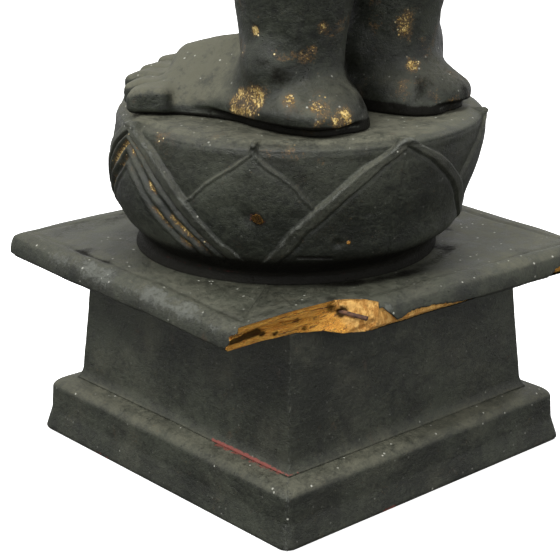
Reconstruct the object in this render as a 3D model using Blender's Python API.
"""Standing Buddha on a lotus seat and a square plinth, joined from separate pieces of lacquered wood.

The origin is the middle of the plinth's underside, +Z is up, and the figure faces -Y, so its left side is +X.
The plinth is a hollow box of mitred boards round four corner posts. A slab closes it, a dowel holds the lotus
on the slab, and the figure stands in the lotus on the tenons of its legs. Trunk, arms, hands, head and finial
are carved apart and pegged together. Nothing on it moves.
"""

import math

import bmesh
import bpy
from mathutils import Matrix, Vector

# Driving dimensions, in metres.
GAP = 0.0003  # air between a piece and its neighbour
SIDES = ("front", "left", "back", "right")  # the figure's own, anticlockwise from -Y by quarter turns

FOOT_HALF = 0.1325  # plinth foot: half its width on the floor
FOOT_BAND_HALF = 0.1282  # where its sloping band ends and its round shoulder starts
FOOT_BAND_HEIGHT = 0.0344
FOOT_HEIGHT = 0.0399
FOOT_INNER_HALF = 0.082

DADO_BOTTOM = FOOT_HEIGHT + GAP
DADO_TOP = 0.1298
DADO_BOTTOM_HALF = 0.1110  # of the straight taper, without the cove
DADO_TOP_HALF = 0.1042
COVE_DEPTH = 0.0046
COVE_HEIGHT = 0.012
BOARD_THICKNESS = 0.014
POST_SIDE = 0.018

SLAB_BOTTOM = DADO_TOP + GAP
SLAB_TOP = 0.148
SLAB_HALF_X = 0.1495
SLAB_HALF_Y = 0.1395
SLAB_CENTRE = (-0.0005, -0.0026)  # it lies a little off the plinth's middle
SLAB_TURN = math.radians(-2.2)  # and a little askew
SLAB_BEYOND = 0.165  # a distance from the middle that lies outside the slab

LOTUS_BOTTOM = SLAB_TOP + GAP
LOTUS_TOP = 0.245
LOTUS_NECK = 0.166  # height of the crease between its neck and its bowl
OUTER_PETALS = (-12, 79, 174, 258)  # degrees from +X towards +Y
INNER_PETALS = (33, 131, 216, 303)
PETAL_RELIEF = 0.0022
LEAN_WAY = math.radians(-42)  # the side to which the hand-turned bowl bulges

SOLE = LOTUS_TOP + GAP
LEG_X = 0.043
LEG_Y = 0.038
LEG_TENON_RADIUS = 0.016
LEG_TENON_DEPTH = 0.045
LEG_TOP = 0.3945
HIP_TENON_LENGTH = 0.050

HEM = LEG_TOP + GAP
NECK_SEAT = 1.206
BODY_Y = 0.032
ARM_X = 0.130
ARM_SEAT = 0.1085  # the flat joint between trunk and upper arm
SHOULDER_Z = 1.135
LEFT_WRIST = 0.785
RIGHT_WRIST = 1.035
RIGHT_WRIST_Y = BODY_Y - 0.116

HEAD_BOTTOM = NECK_SEAT + GAP
CROWN = 1.430
FINIAL_TOP = 1.510

PEG_RADIUS = 0.004
DOWEL_RADIUS = 0.008
NAIL_RADIUS = 0.0016


def clear_scene():
    for thing in list(bpy.data.objects):
        bpy.data.objects.remove(thing, do_unlink=True)


def finish(name, colour, roughness, metallic=0.0):
    """A plain material with the piece's colour, roughness and metallic value."""
    made = bpy.data.materials.new(name)
    made.use_nodes = True
    shader = made.node_tree.nodes["Principled BSDF"]
    shader.inputs["Base Color"].default_value = (*colour, 1.0)
    shader.inputs["Roughness"].default_value = roughness
    shader.inputs["Metallic"].default_value = metallic
    return made


def loft(name, rings, material):
    """A closed body through rings of equally many points, with a flat cap on the first and on the last."""
    shape = bmesh.new()
    rows = [[shape.verts.new(point) for point in ring] for ring in rings]
    count = len(rings[0])
    for low, high in zip(rows, rows[1:]):
        for i in range(count):
            j = (i + 1) % count
            shape.faces.new((low[i], low[j], high[j], high[i]))
    shape.faces.new(rows[0])
    shape.faces.new(rows[-1])
    bmesh.ops.recalc_face_normals(shape, faces=shape.faces)
    mesh = bpy.data.meshes.new(name)
    shape.to_mesh(mesh)
    shape.free()
    mesh.shade_smooth()
    mesh.set_sharp_from_angle(angle=math.radians(40))
    mesh.materials.append(material)
    piece = bpy.data.objects.new(name, mesh)
    bpy.context.scene.collection.objects.link(piece)
    return piece


def combine(piece, other, operation):
    """Takes other away from piece, or joins it on, and keeps other as a hidden guide."""
    other.hide_render = True
    other.display_type = "WIRE"
    step = piece.modifiers.new(other.name, "BOOLEAN")
    step.operation = operation
    step.object = other


def cut(piece, other):
    combine(piece, other, "DIFFERENCE")


def join(piece, other):
    combine(piece, other, "UNION")


def oval(x, y, z, half_x, half_y, count=32, power=2.0):
    """A level superellipse: power 2 is an ellipse, and more is squarer."""
    ring = []
    for i in range(count):
        turn = 2 * math.pi * (i + 0.5) / count
        c = math.cos(turn)
        s = math.sin(turn)
        ring.append(
            (
                x + half_x * math.copysign(abs(c) ** (2 / power), c),
                y + half_y * math.copysign(abs(s) ** (2 / power), s),
                z,
            )
        )
    return ring


def round_rectangle(half_x, half_y, corner, z, steps=4):
    """A level rectangle with round corners."""
    ring = []
    for quarter in range(4):
        start = quarter * math.pi / 2
        x = (half_x - corner) * (1 if quarter in (0, 3) else -1)
        y = (half_y - corner) * (1 if quarter in (0, 1) else -1)
        for step in range(steps + 1):
            turn = start + step / steps * math.pi / 2
            ring.append((x + corner * math.cos(turn), y + corner * math.sin(turn), z))
    return ring


def rod(name, start, end, radius, material, count=12, grow=0.0):
    """A straight round peg, dowel, nail or bore from start to end. grow widens and lengthens it."""
    start = Vector(start)
    end = Vector(end)
    along = (end - start).normalized()
    start = start - along * grow
    end = end + along * grow
    turned = along.to_track_quat("Z", "Y")
    bevel = radius / 4
    rings = []
    for centre, across in (
        (start, radius + grow - bevel),
        (start + along * bevel, radius + grow),
        (end - along * bevel, radius + grow),
        (end, radius + grow - bevel),
    ):
        rings.append([centre + turned @ Vector(p) for p in oval(0, 0, 0, across, across, count)])
    return loft(name, rings, material)


def limb(name, stations, material, count=20, power=2.2):
    """A limb through stations of (centre, half its width, half its depth). Rings stand square to its line."""
    centres = [Vector(station[0]) for station in stations]
    rings = []
    for i, (_, half_width, half_depth) in enumerate(stations):
        before = centres[max(i - 1, 0)]
        after = centres[min(i + 1, len(centres) - 1)]
        along = (after - before).normalized()
        depth_way = along.cross(Vector((1, 0, 0))).normalized()
        width_way = depth_way.cross(along)
        ring = []
        for u, v, _ in oval(0, 0, 0, half_width, half_depth, count, power):
            ring.append(centres[i] + width_way * u + depth_way * v)
        rings.append(ring)
    return loft(name, rings, material)


def peg_together(name, start, end, radius, material, *pieces):
    """A peg in its own node, and a bore for it, one gap wider all round, in each piece that it holds."""
    peg = rod(name, start, end, radius, material)
    bore = rod(name + "_bore", start, end, radius, material, grow=GAP)
    for piece in pieces:
        cut(piece, bore)
    return peg


def taper_half(z):
    """Half the width of the dado's straight taper at a height."""
    share = (z - DADO_BOTTOM) / (DADO_TOP - DADO_BOTTOM)
    return DADO_BOTTOM_HALF + (DADO_TOP_HALF - DADO_BOTTOM_HALF) * share


def mitred_board(name, profile, quarter, material):
    """A straight moulding with mitred ends. profile holds (distance from the middle, height) points."""
    mitre_gap = GAP / 2 * math.sqrt(2)
    ends = []
    for way in (-1, 1):
        ends.append([(way * (far - mitre_gap), -far, z) for far, z in profile])
    board = loft(name, ends, material)
    board.rotation_euler.z = quarter * math.pi / 2
    return board


def plinth_foot(lacquer):
    """Four mitred mouldings on the floor, with a sloping band and a round shoulder."""
    shoulder_inner = DADO_BOTTOM_HALF + COVE_DEPTH + 0.001
    profile = [(FOOT_INNER_HALF, 0.0), (FOOT_HALF, 0.0)]
    for step in range(5):
        turn = step / 4 * math.pi / 2
        profile.append(
            (
                shoulder_inner + (FOOT_BAND_HALF - shoulder_inner) * math.cos(turn),
                FOOT_BAND_HEIGHT + (FOOT_HEIGHT - FOOT_BAND_HEIGHT) * math.sin(turn),
            )
        )
    profile.append((FOOT_INNER_HALF, FOOT_HEIGHT))
    return {side: mitred_board(f"plinth_foot_{side}", profile, SIDES.index(side), lacquer) for side in SIDES}


def plinth_dado(lacquer):
    """Four mitred boards that lean in, with a cove where they stand on the foot."""
    profile = []
    for step in range(5):
        z = DADO_BOTTOM + COVE_HEIGHT * step / 4
        profile.append((taper_half(z) + COVE_DEPTH * (1 - step / 4) ** 2, z))
    profile.append((taper_half(DADO_TOP), DADO_TOP))
    profile.append((taper_half(DADO_TOP) - BOARD_THICKNESS, DADO_TOP))
    profile.append((taper_half(DADO_BOTTOM) - BOARD_THICKNESS, DADO_BOTTOM))
    return {side: mitred_board(f"dado_board_{side}", profile, SIDES.index(side), lacquer) for side in SIDES}


def corner_post(name, way_x, way_y, wood):
    """A square post in a corner of the dado, leaning in with the boards."""
    rings = []
    for z in (DADO_BOTTOM, DADO_TOP):
        outer = taper_half(z) - BOARD_THICKNESS - GAP
        inner = outer - POST_SIDE
        outline = ((inner, inner), (outer, inner), (outer, outer), (inner, outer))
        rings.append([(way_x * a, way_y * b, z) for a, b in outline])
    return loft(name, rings, wood)


def top_slab(lacquer):
    """The plinth's cover slab, with round edges, laid a little askew."""
    steps = (
        (SLAB_BOTTOM, 0.0010),
        (SLAB_BOTTOM + 0.002, 0.0),
        (SLAB_BOTTOM + 0.010, 0.0010),
        (SLAB_TOP - 0.0040, 0.0032),
        (SLAB_TOP - 0.0014, 0.0070),
        (SLAB_TOP, 0.0125),
    )
    rings = []
    for z, inset in steps:
        ring = round_rectangle(SLAB_HALF_X - inset, SLAB_HALF_Y - inset, 0.006, z)
        turned = [Matrix.Rotation(SLAB_TURN, 3, "Z") @ Vector(point) for point in ring]
        rings.append([point + Vector((*SLAB_CENTRE, 0)) for point in turned])
    return loft("top_slab", rings, lacquer)


def break_corner(slab, wood):
    """Splits the back left edge of the slab off along the grain, then tears it across to the back edge."""
    below = SLAB_BOTTOM - 0.002
    above = SLAB_TOP + 0.002
    foot_line = [
        (SLAB_BEYOND, 0.0972),
        (0.121, 0.1005),
        (0.0985, 0.1045),
        (0.082, 0.1169),
        (0.0784, 0.1252),
        (0.062, 0.1321),
        (0.047, SLAB_BEYOND),
    ]
    head_line = [
        (SLAB_BEYOND, 0.1087),
        (0.106, 0.1083),
        (0.0723, 0.1106),
        (0.064, 0.1155),
        (0.0584, 0.1202),
        (0.050, 0.130),
        (0.040, SLAB_BEYOND),
    ]
    rings = []
    for line, z in ((foot_line, below), (head_line, above)):
        rings.append([(x, y, z) for x, y in [*line, (SLAB_BEYOND, SLAB_BEYOND)]])
    cut(slab, loft("lost_corner", rings, wood))


def corner_nail(slab, iron):
    """The wrought nail that held the lost edge. It stands out of the torn wood in a worn, wider hole."""
    start = (0.0735, 0.090, 0.1400)
    end = (0.0670, 0.134, 0.1402)
    nail = rod("corner_nail", start, end, NAIL_RADIUS, iron, count=10)
    cut(slab, rod("corner_nail_hole", start, end, NAIL_RADIUS, iron, count=10, grow=0.0006))
    return nail


def petal_share(turn, z, middle, spread):
    """1 on a pointed petal that stands tip up at the angle middle, 0 beside it, soft at its edge."""
    height = (LOTUS_TOP - z) / (LOTUS_TOP - LOTUS_NECK)
    half_width = math.radians(spread) * max(height, 0.0) ** 0.72
    apart = abs((turn - math.radians(middle) + math.pi) % (2 * math.pi) - math.pi)
    edge = math.radians(3.0)
    return min(max((half_width - apart) / edge + 0.5, 0.0), 1.0)


def lotus_base(lacquer):
    """A low neck and a bowl, with four petals in front of four others."""
    profile = (
        (LOTUS_BOTTOM, 0.1090),
        (0.1510, 0.1050),
        (0.1560, 0.1025),
        (0.1620, 0.1020),
        (LOTUS_NECK, 0.1045),
        (0.1700, 0.1105),
        (0.1760, 0.1160),
        (0.1850, 0.1205),
        (0.1960, 0.1235),
        (0.2080, 0.1250),
        (0.2200, 0.1258),
        (0.2310, 0.1256),
        (0.2390, 0.1238),
        (0.2435, 0.1215),
        (LOTUS_TOP, 0.1190),
    )
    count = 80
    rings = []
    for z, radius in profile:
        height = (z - LOTUS_BOTTOM) / (LOTUS_TOP - LOTUS_BOTTOM)
        lean = 0.0065 * math.sin(math.pi * min(max(0.25 + 0.8 * height, 0.0), 1.0))
        ring = []
        for i in range(count):
            turn = 2 * math.pi * i / count
            outer = max(petal_share(turn, z, middle, 40) for middle in OUTER_PETALS)
            inner = max(petal_share(turn, z, middle, 34) for middle in INNER_PETALS)
            on_bowl = 1.0 if LOTUS_NECK < z < LOTUS_TOP else 0.0
            far = radius + PETAL_RELIEF * on_bowl * max(outer, inner * 0.5)
            ring.append(
                (
                    far * math.cos(turn) + lean * math.cos(LEAN_WAY),
                    far * math.sin(turn) + lean * math.sin(LEAN_WAY),
                    z,
                )
            )
        rings.append(ring)
    return loft("lotus_base", rings, lacquer)


def foot_shape(name, way, lacquer):
    """A flat-soled foot from the heel to the ball. Each ring stands on a line from outer to inner side."""
    stations = (
        ((0.056, 0.0975), (0.038, 0.0975), 0.262),
        ((0.070, 0.0900), (0.023, 0.0900), 0.278),
        ((0.080, 0.0720), (0.014, 0.0720), 0.284),
        ((0.082, 0.0500), (0.012, 0.0450), 0.287),
        ((0.0795, 0.020), (0.013, 0.0150), 0.284),
        ((0.083, -0.006), (0.015, -0.0150), 0.278),
        ((0.092, -0.028), (0.019, -0.0500), 0.271),
        ((0.100, -0.040), (0.023, -0.0780), 0.2655),
    )
    steps = 12
    rings = []
    for outer, inner, top in stations:
        outer = Vector((way * outer[0], outer[1], SOLE))
        inner = Vector((way * inner[0], inner[1], SOLE))
        ring = []
        for step in range(steps + 1):
            turn = step / steps * math.pi
            across = 0.5 - 0.5 * math.copysign(abs(math.cos(turn)) ** 0.7, math.cos(turn))
            point = outer.lerp(inner, across)
            point.z = SOLE + 0.003 + (top - SOLE - 0.003) * math.sin(turn) ** 0.6
            ring.append(point)
        inset = (inner - outer) * 0.03
        ring.append(inner - inset)
        ring.append(outer + inset)
        rings.append(ring)
    return loft(name, rings, lacquer)


def toe(name, way, share, lacquer):
    """One box-like toe with a round top. share runs from 0 at the big toe to 1 at the little one."""
    tip = Vector((way * (0.044 + 0.060 * share), -0.103 + 0.050 * share, SOLE))
    forward = Vector((way * 0.22, -0.975, 0.0)).normalized()
    side = Vector((-forward.y, forward.x, 0.0))
    length = 0.042 - 0.012 * share
    half_width = 0.0108 - 0.0035 * share**0.5
    height = 0.0175 - 0.003 * share
    rings = []
    for back, narrow, rise in ((length, 0.9, 1.0), (0.010, 1.0, 1.0), (0.002, 0.95, 0.85), (0.0, 0.8, 0.6)):
        middle = tip - forward * back
        ring = []
        for u, v, _ in oval(0, 0, 0, half_width * narrow, height * rise / 2, 12, 3.0):
            ring.append(middle + side * u + Vector((0, 0, v + height * rise / 2)))
        rings.append(ring)
    return loft(name, rings, lacquer)


def leg(side, way, lotus, lacquer):
    """A bare lower leg and its foot, with a tenon below for the lotus and one above for the robe."""
    column = (
        (SOLE + 0.006, 0.0370, 0.046),
        (0.268, 0.0360, 0.041),
        (0.283, 0.0335, 0.0345),
        (0.300, 0.0345, 0.0350),
        (0.320, 0.0370, 0.0375),
        (0.355, 0.0400, 0.0420),
        (LEG_TOP, 0.0415, 0.0450),
    )
    rings = [oval(way * LEG_X, LEG_Y + 0.003, z, x, y, 24) for z, x, y in column]
    piece = loft(f"{side}_leg", rings, lacquer)
    join(piece, foot_shape(f"{side}_foot_shape", way, lacquer))
    for number in range(5):
        join(piece, toe(f"{side}_toe_{number}", way, number / 4, lacquer))
    socket_bottom = (way * LEG_X, LEG_Y, LOTUS_TOP - LEG_TENON_DEPTH)
    inside_foot = (way * LEG_X, LEG_Y, LOTUS_TOP + 0.017)
    join(piece, rod(f"{side}_foot_tenon", socket_bottom, inside_foot, LEG_TENON_RADIUS, lacquer, 16))
    mouth = (way * LEG_X, LEG_Y, LOTUS_TOP + 0.010)
    cut(lotus, rod(f"{side}_foot_socket", socket_bottom, mouth, LEG_TENON_RADIUS, lacquer, 16, grow=GAP))
    above = (way * LEG_X, LEG_Y, LEG_TOP + HIP_TENON_LENGTH)
    join(piece, rod(f"{side}_hip_tenon", (way * LEG_X, LEG_Y, 0.370), above, LEG_TENON_RADIUS, lacquer, 16))
    return piece


def robe_body(lacquer):
    """Trunk and robe in one block, flat under the hem, with a socket for each leg."""
    profile = (
        (HEM, 0.124, 0.058),
        (0.408, 0.126, 0.060),
        (0.440, 0.120, 0.060),
        (0.520, 0.110, 0.061),
        (0.620, 0.103, 0.064),
        (0.720, 0.102, 0.068),
        (0.790, 0.100, 0.069),
        (0.860, 0.091, 0.061),
        (0.930, 0.090, 0.059),
        (1.000, 0.101, 0.064),
        (1.070, 0.115, 0.068),
        (1.120, 0.121, 0.066),
        (1.155, 0.118, 0.058),
        (1.180, 0.100, 0.048),
        (1.196, 0.070, 0.041),
        (NECK_SEAT, 0.044, 0.039),
    )
    body = loft("robe_body", [oval(0, BODY_Y, z, x, y, 40, 2.5) for z, x, y in profile], lacquer)
    for way in (-1, 1):
        socket = rod(
            f"hip_socket_{way + 1}",
            (way * LEG_X, LEG_Y, HEM - 0.010),
            (way * LEG_X, LEG_Y, LEG_TOP + HIP_TENON_LENGTH),
            LEG_TENON_RADIUS,
            lacquer,
            16,
            grow=GAP,
        )
        cut(body, socket)
        cut(body, seat_cutter(f"arm_seat_{way + 1}", way, ARM_SEAT, 0.20, lacquer))
    return body


def block(name, low, high, material):
    """A square-edged cutter between two corners."""
    outline = ((low[0], low[1]), (high[0], low[1]), (high[0], high[1]), (low[0], high[1]))
    return loft(name, [[(x, y, z) for x, y in outline] for z in (low[2], high[2])], material)


def seat_cutter(name, way, near, far, material):
    """All that lies between two distances from the middle plane, on one side of the chest and shoulders."""
    sides = sorted((way * near, way * far))
    return block(name, (sides[0], -0.10, 0.90), (sides[1], 0.16, 1.25), material)


def upper_arm(name, way, below, material):
    """The arm's stations from the shoulder to the elbow, then those below. It is flat against the trunk."""
    stations = [
        ((way * (ARM_X - 0.008), BODY_Y, 1.169), 0.013, 0.022),
        ((way * (ARM_X - 0.002), BODY_Y, 1.158), 0.0230, 0.034),
        ((way * ARM_X, BODY_Y, 1.120), 0.0265, 0.038),
        ((way * ARM_X, BODY_Y, 1.060), 0.0260, 0.035),
        ((way * ARM_X, BODY_Y + 0.001, 0.990), 0.0240, 0.032),
    ]
    arm = limb(name, stations + below, material)
    cut(arm, seat_cutter(f"{name}_seat", way, 0.06, ARM_SEAT + GAP, material))
    return arm


def left_arm(body, lacquer, wood):
    """The whole hanging arm down to the wrist, pegged to the shoulder."""
    below = [
        ((ARM_X, BODY_Y + 0.001, 0.940), 0.0225, 0.030),
        ((ARM_X, BODY_Y - 0.004, 0.880), 0.0205, 0.027),
        ((ARM_X, BODY_Y - 0.011, 0.825), 0.0170, 0.022),
        ((ARM_X, BODY_Y - 0.015, 0.795), 0.0150, 0.019),
        ((ARM_X, BODY_Y - 0.015, LEFT_WRIST), 0.0148, 0.019),
    ]
    arm = upper_arm("left_arm", 1, below, lacquer)
    start = (0.070, BODY_Y, SHOULDER_Z)
    end = (ARM_X + 0.008, BODY_Y, SHOULDER_Z)
    peg_together("left_shoulder_dowel", start, end, DOWEL_RADIUS, wood, body, arm)
    return arm


def left_hand(arm, lacquer, wood):
    """A hand that hangs straight down with its fingers together."""
    top = LEFT_WRIST - GAP
    y = BODY_Y - 0.015
    stations = [
        ((ARM_X, y, top), 0.0145, 0.0185),
        ((ARM_X, y, top - 0.008), 0.0148, 0.0195),
        ((ARM_X, y - 0.002, 0.755), 0.0150, 0.0250),
        ((ARM_X, y - 0.004, 0.725), 0.0135, 0.0280),
        ((ARM_X, y - 0.005, 0.700), 0.0120, 0.0265),
        ((ARM_X, y - 0.005, 0.670), 0.0100, 0.0240),
        ((ARM_X, y - 0.005, 0.645), 0.0085, 0.0200),
        ((ARM_X, y - 0.005, 0.634), 0.0055, 0.0130),
    ]
    hand = limb("left_hand", stations, lacquer, power=2.6)
    thumb = [
        ((ARM_X - 0.004, y - 0.020, 0.752), 0.0075, 0.0080),
        ((ARM_X - 0.005, y - 0.031, 0.725), 0.0080, 0.0080),
        ((ARM_X - 0.005, y - 0.035, 0.700), 0.0075, 0.0070),
        ((ARM_X - 0.005, y - 0.034, 0.684), 0.0050, 0.0050),
    ]
    join(hand, limb("left_thumb", thumb, lacquer, 12))
    start = (ARM_X, y, LEFT_WRIST - 0.024)
    end = (ARM_X, y, LEFT_WRIST + 0.024)
    peg_together("left_wrist_peg", start, end, PEG_RADIUS, wood, arm, hand)
    return hand


def right_arm(body, lacquer, wood):
    """An upper arm that hangs from the shoulder. A forearm, pegged on at the elbow, reaches forward and up."""
    elbow_z = RIGHT_WRIST - 0.090
    below = [((-ARM_X, BODY_Y + 0.001, elbow_z), 0.0225, 0.030)]
    upper = upper_arm("right_upper_arm", -1, below, lacquer)
    start = (-0.070, BODY_Y, SHOULDER_Z)
    end = (-ARM_X - 0.008, BODY_Y, SHOULDER_Z)
    peg_together("right_shoulder_dowel", start, end, DOWEL_RADIUS, wood, body, upper)
    line = [
        ((-ARM_X, BODY_Y + 0.004, elbow_z - GAP - 0.0140), 0.0200, 0.0120),
        ((-ARM_X, BODY_Y - 0.010, elbow_z - 0.0200), 0.0210, 0.0190),
        ((-ARM_X, BODY_Y - 0.040, elbow_z - 0.0060), 0.0205, 0.0215),
        ((-ARM_X + 0.002, BODY_Y - 0.075, elbow_z + 0.0270), 0.0185, 0.0195),
        ((-ARM_X + 0.004, BODY_Y - 0.103, elbow_z + 0.0620), 0.0160, 0.0160),
        ((-ARM_X + 0.005, RIGHT_WRIST_Y, RIGHT_WRIST - 0.007), 0.0150, 0.0140),
        ((-ARM_X + 0.005, RIGHT_WRIST_Y, RIGHT_WRIST), 0.0148, 0.0135),
    ]
    forearm = limb("right_forearm", line, lacquer)
    low = (-ARM_X - 0.03, BODY_Y - 0.052, elbow_z - GAP)
    high = (-ARM_X + 0.03, BODY_Y + 0.048, elbow_z + 0.035)
    cut(forearm, block("elbow_slot", low, high, lacquer))
    start = (-ARM_X, BODY_Y + 0.002, elbow_z - 0.018)
    end = (-ARM_X, BODY_Y + 0.001, elbow_z + 0.030)
    peg_together("right_elbow_peg", start, end, PEG_RADIUS, wood, upper, forearm)
    return forearm


def right_hand(forearm, lacquer, wood):
    """An open hand held up with its palm to the front."""
    x = -ARM_X + 0.005
    y = RIGHT_WRIST_Y
    bottom = RIGHT_WRIST + GAP
    stations = [
        ((x, y, bottom), 0.0145, 0.0130),
        ((x, y, bottom + 0.006), 0.0155, 0.0130),
        ((x, y - 0.003, bottom + 0.022), 0.0215, 0.0130),
        ((x, y - 0.004, bottom + 0.045), 0.0255, 0.0120),
        ((x, y - 0.004, bottom + 0.065), 0.0255, 0.0100),
        ((x, y - 0.004, bottom + 0.095), 0.0235, 0.0082),
        ((x, y - 0.003, bottom + 0.120), 0.0190, 0.0070),
        ((x, y - 0.003, bottom + 0.131), 0.0110, 0.0045),
    ]
    hand = limb("right_hand", stations, lacquer, power=2.8)
    thumb = [
        ((x + 0.015, y - 0.004, bottom + 0.018), 0.0075, 0.0075),
        ((x + 0.028, y - 0.007, bottom + 0.042), 0.0080, 0.0080),
        ((x + 0.033, y - 0.007, bottom + 0.064), 0.0070, 0.0070),
        ((x + 0.032, y - 0.006, bottom + 0.078), 0.0045, 0.0045),
    ]
    join(hand, limb("right_thumb", thumb, lacquer, 12))
    start = (x, y, RIGHT_WRIST - 0.022)
    end = (x, y, RIGHT_WRIST + 0.022)
    peg_together("right_wrist_peg", start, end, PEG_RADIUS, wood, forearm, hand)
    return hand


def head(body, lacquer, wood):
    """Neck, face and a cap of hair in one block, with long ears, and the raised top of the skull."""
    y = BODY_Y
    profile = (
        (HEAD_BOTTOM, y, 0.0400, 0.0370),
        (1.222, y, 0.0360, 0.0350),
        (1.238, y - 0.008, 0.0370, 0.0440),
        (1.246, y - 0.014, 0.0430, 0.0540),
        (1.262, y - 0.012, 0.0530, 0.0620),
        (1.285, y - 0.007, 0.0600, 0.0680),
        (1.310, y - 0.004, 0.0635, 0.0710),
        (1.335, y - 0.002, 0.0650, 0.0720),
        (1.360, y, 0.0640, 0.0700),
        (1.382, y + 0.002, 0.0560, 0.0610),
        (1.396, y + 0.004, 0.0410, 0.0460),
        (1.404, y + 0.005, 0.0330, 0.0360),
        (1.418, y + 0.005, 0.0300, 0.0320),
        (CROWN, y + 0.005, 0.0180, 0.0190),
    )
    piece = loft("head", [oval(0, yc, z, hx, hy, 28, 2.2) for z, yc, hx, hy in profile], lacquer)
    nose = limb(
        "nose",
        [
            ((0, y - 0.064, 1.329), 0.0060, 0.0060),
            ((0, y - 0.073, 1.306), 0.0075, 0.0085),
            ((0, y - 0.074, 1.297), 0.0105, 0.0090),
            ((0, y - 0.068, 1.291), 0.0080, 0.0060),
        ],
        lacquer,
        10,
    )
    join(piece, nose)
    for way in (-1, 1):
        ear = limb(
            f"ear_{way + 1}",
            [
                ((way * 0.0640, y + 0.002, 1.338), 0.0040, 0.0080),
                ((way * 0.0670, y + 0.002, 1.328), 0.0060, 0.0140),
                ((way * 0.0650, y + 0.001, 1.300), 0.0060, 0.0120),
                ((way * 0.0600, y - 0.001, 1.270), 0.0060, 0.0095),
                ((way * 0.0560, y - 0.002, 1.248), 0.0045, 0.0070),
            ],
            lacquer,
            10,
        )
        join(piece, ear)
    peg_together("neck_dowel", (0, y, 1.165), (0, y, 1.245), 0.012, wood, body, piece)
    return piece


def flame_finial(crown, lacquer, wood):
    """A bud-shaped flame on the top of the head."""
    y = BODY_Y + 0.005
    base = CROWN + GAP
    rings = []
    for share in (0.0, 0.08, 0.2, 0.35, 0.5, 0.65, 0.8, 0.92, 1.0):
        swell = math.sin(math.pi * min(0.28 + 0.72 * share, 1.0)) ** 0.8
        radius = 0.0012 + 0.0165 * swell
        rings.append(oval(0, y, base + (FINIAL_TOP - base) * share, radius, radius * 0.8, 16, 2.0))
    piece = loft("flame_finial", rings, lacquer)
    start = (0, y, CROWN - 0.018)
    end = (0, y, CROWN + 0.022)
    peg_together("finial_peg", start, end, PEG_RADIUS, wood, crown, piece)
    return piece


def main():
    clear_scene()
    lacquer = finish("dark_lacquer", (0.035, 0.036, 0.032), 0.45)
    dusty = finish("dusty_lacquer", (0.060, 0.058, 0.048), 0.65)
    wood = finish("bare_wood", (0.42, 0.22, 0.09), 0.70)
    iron = finish("rusty_iron", (0.16, 0.08, 0.05), 0.75, 0.6)

    feet = plinth_foot(lacquer)
    plinth_dado(lacquer)
    slab = top_slab(dusty)
    break_corner(slab, wood)
    corner_nail(slab, iron)
    lotus = lotus_base(lacquer)

    corners = {"front_left": (1, -1), "back_left": (1, 1), "back_right": (-1, 1), "front_right": (-1, -1)}
    for corner, (way_x, way_y) in corners.items():
        post = corner_post(f"corner_post_{corner}", way_x, way_y, wood)
        low = taper_half(DADO_BOTTOM) - BOARD_THICKNESS - GAP - POST_SIDE / 2
        high = taper_half(DADO_TOP) - BOARD_THICKNESS - GAP - POST_SIDE / 2
        start = (way_x * low, way_y * low, DADO_BOTTOM - 0.018)
        end = (way_x * low, way_y * low, DADO_BOTTOM + 0.016)
        back_or_front, left_or_right = corner.split("_")
        boards = (feet[back_or_front], feet[left_or_right])
        peg_together(f"foot_peg_{corner}", start, end, PEG_RADIUS, wood, post, *boards)
        start = (way_x * high, way_y * high, DADO_TOP - 0.016)
        end = (way_x * high, way_y * high, DADO_TOP + 0.011)
        peg_together(f"slab_peg_{corner}", start, end, PEG_RADIUS, wood, post, slab)

    start = (0, 0, SLAB_BOTTOM + 0.001)
    peg_together("lotus_dowel", start, (0, 0, 0.190), 0.014, wood, slab, lotus)

    leg("left", 1, lotus, dusty)
    leg("right", -1, lotus, dusty)
    body = robe_body(lacquer)
    arm = left_arm(body, lacquer, wood)
    left_hand(arm, lacquer, wood)
    forearm = right_arm(body, lacquer, wood)
    right_hand(forearm, lacquer, wood)
    skull = head(body, lacquer, wood)
    flame_finial(skull, lacquer, wood)


main()
